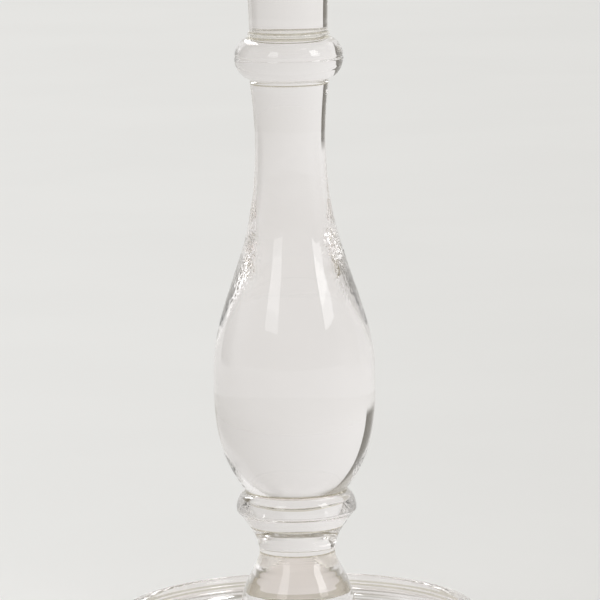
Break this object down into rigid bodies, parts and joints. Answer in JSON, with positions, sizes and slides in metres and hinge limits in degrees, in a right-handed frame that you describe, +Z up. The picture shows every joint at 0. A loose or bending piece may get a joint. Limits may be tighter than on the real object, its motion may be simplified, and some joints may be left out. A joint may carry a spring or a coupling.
{
  "type": "candlestick",
  "caption": "Clear glass candlestick: baluster stem between a bead ring and a collar, on a bell and a wide dished foot, with a trumpet cup that holds a taper.",
  "frame": {"origin": "centre of the ground seat ring under the foot, on the table plane", "axes": "+Z up the stem to the candle; the object is turned about Z, so +X and +Y are free; the picture looks along +Y"},
  "size_m": [0.144, 0.144, 0.2977],
  "materials": {
    "clear_glass": "fire-polished clear glass",
    "seam_glass": "clear glass with a faint warm tint",
    "bond": "thin clear adhesive, slightly yellowed"
  },
  "bodies": {
    "root": {"foot_dish": "clear_glass", "bell_pedestal": "clear_glass", "neck_spool": "clear_glass", "lower_collar": "clear_glass", "baluster_stem": "clear_glass", "upper_bead": "clear_glass", "disc_bond_lower": "bond", "seam_disc": "seam_glass", "disc_bond_upper": "bond", "candle_cup": "clear_glass"}
  },
  "joints": []
}
